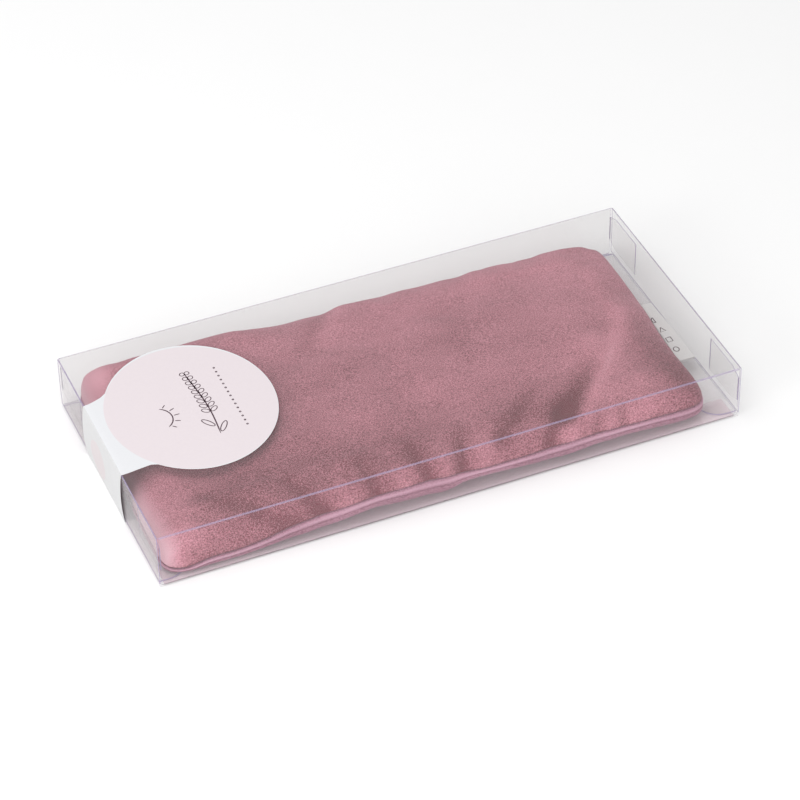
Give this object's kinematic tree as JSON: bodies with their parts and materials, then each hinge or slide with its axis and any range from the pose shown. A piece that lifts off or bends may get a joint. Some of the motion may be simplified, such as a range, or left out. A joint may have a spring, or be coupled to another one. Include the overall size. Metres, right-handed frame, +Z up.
{
  "type": "eye pillow",
  "caption": "Velvet eye pillow filled with seed, in a clear folding carton whose one end is sealed by a wrap-round paper label and whose other end opens.",
  "frame": {"origin": "centre of the carton's underside, on the surface that it rests on", "axes": "+X along the carton to the end that opens, +Y to the back wall, +Z up through the clear top"},
  "size_m": [0.24, 0.114, 0.024],
  "materials": {
    "clear_film": "clear plastic sheet, glossy, with faint lilac creases and cut edges",
    "clear_glue": "dried clear adhesive",
    "label_paper": "smooth coated white paper, with a pale pink printed disc",
    "velvet": "dusty pink short-pile velvet with a soft sheen",
    "thread": "matching pink sewing thread",
    "cotton": "plain unbleached cotton",
    "cotton_thread": "white cotton thread",
    "seeds": "brown flax seed with lavender",
    "satin": "white satin tape, soft gloss"
  },
  "bodies": {
    "carton": {"top_panel": "clear_film", "front_panel": "clear_film", "bottom_panel": "clear_film", "back_panel": "clear_film", "glue_flap": "clear_film", "glue_strip": "clear_glue", "left_lid": "clear_film", "left_tuck_flap": "clear_film", "left_front_dust_flap": "clear_film", "left_back_dust_flap": "clear_film", "label_top": "label_paper", "label_end": "label_paper", "label_bottom": "label_paper"},
    "right_lid": {"right_lid": "clear_film"},
    "right_tuck": {"right_tuck_flap": "clear_film"},
    "right_front_dust": {"right_front_dust_flap": "clear_film"},
    "right_back_dust": {"right_back_dust_flap": "clear_film"},
    "pillow": {"cover_top": "velvet", "cover_bottom": "velvet", "seam_stitching": "thread", "closing_stitches": "thread", "inner_bag_top": "cotton", "inner_bag_bottom": "cotton", "inner_bag_stitching": "cotton_thread", "seed_filling": "seeds"},
    "care_tag": {"care_label": "satin"}
  },
  "joints": [
    {"name": "right_lid_hinge", "type": "hinge", "parent": "carton", "child": "right_lid", "pos_m": [0.11985, 0, 0.02373], "axis": [0, -1, 0], "range_deg": [0, 115]},
    {"name": "right_tuck_fold", "type": "hinge", "parent": "right_lid", "child": "right_tuck", "pos_m": [0.1197, 0, 0.00125], "axis": [0, -1, 0], "range_deg": [-87, 0]},
    {"name": "right_front_dust_spring", "type": "hinge", "parent": "carton", "child": "right_front_dust", "pos_m": [0.11905, -0.05685, 0.0125], "axis": [0, 0, -1], "range_deg": [0, 14]},
    {"name": "right_back_dust_spring", "type": "hinge", "parent": "carton", "child": "right_back_dust", "pos_m": [0.11905, 0.05685, 0.0125], "axis": [0, 0, 1], "range_deg": [0, 14]},
    {"name": "pillow_slide", "type": "slide", "parent": "carton", "child": "pillow", "axis": [1, 0, 0], "range_m": [0, 0.002]},
    {"name": "care_tag_bend", "type": "hinge", "parent": "pillow", "child": "care_tag", "pos_m": [0.1132, -0.0075, 0.008], "axis": [0, 1, 0], "range_deg": [-35, 35]}
  ],
  "couplings": [
    {"joint": "right_tuck_fold", "follows": "right_lid_hinge", "ratio": -0.75},
    {"joint": "right_front_dust_spring", "follows": "right_lid_hinge", "ratio": 0.12},
    {"joint": "right_back_dust_spring", "follows": "right_lid_hinge", "ratio": 0.12}
  ]
}
